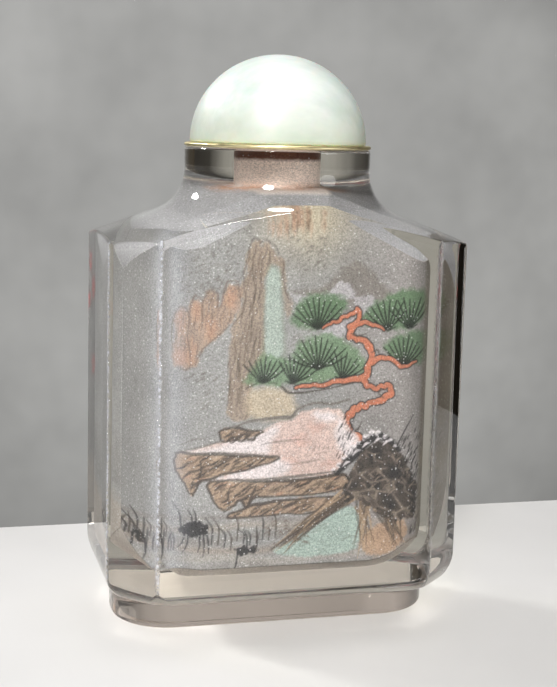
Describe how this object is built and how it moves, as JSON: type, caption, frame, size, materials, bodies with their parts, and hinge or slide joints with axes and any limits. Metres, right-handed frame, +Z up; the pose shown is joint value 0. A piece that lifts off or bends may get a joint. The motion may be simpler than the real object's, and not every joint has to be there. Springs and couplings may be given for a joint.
{
  "type": "snuff bottle",
  "caption": "Inside-painted snuff bottle of clear glass: flat chamfered body, sloping shoulder, round neck, low foot and a domed stopper.",
  "frame": {"origin": "centre of the foot's underside, on the surface that the bottle stands on", "axes": "+Z up through the stopper, X across the flat painted faces, -Y towards the main painted face"},
  "size_m": [0.051, 0.032, 0.0801],
  "materials": {
    "glass": "polished outside, ground matt and painted inside",
    "cork": "raw cork",
    "gilt": "bright gilt",
    "cabochon": "polished"
  },
  "bodies": {
    "root": {"bottle": "glass", "stopper_cork": "cork", "stopper_collar": "gilt", "stopper_dome": "cabochon"}
  },
  "joints": []
}
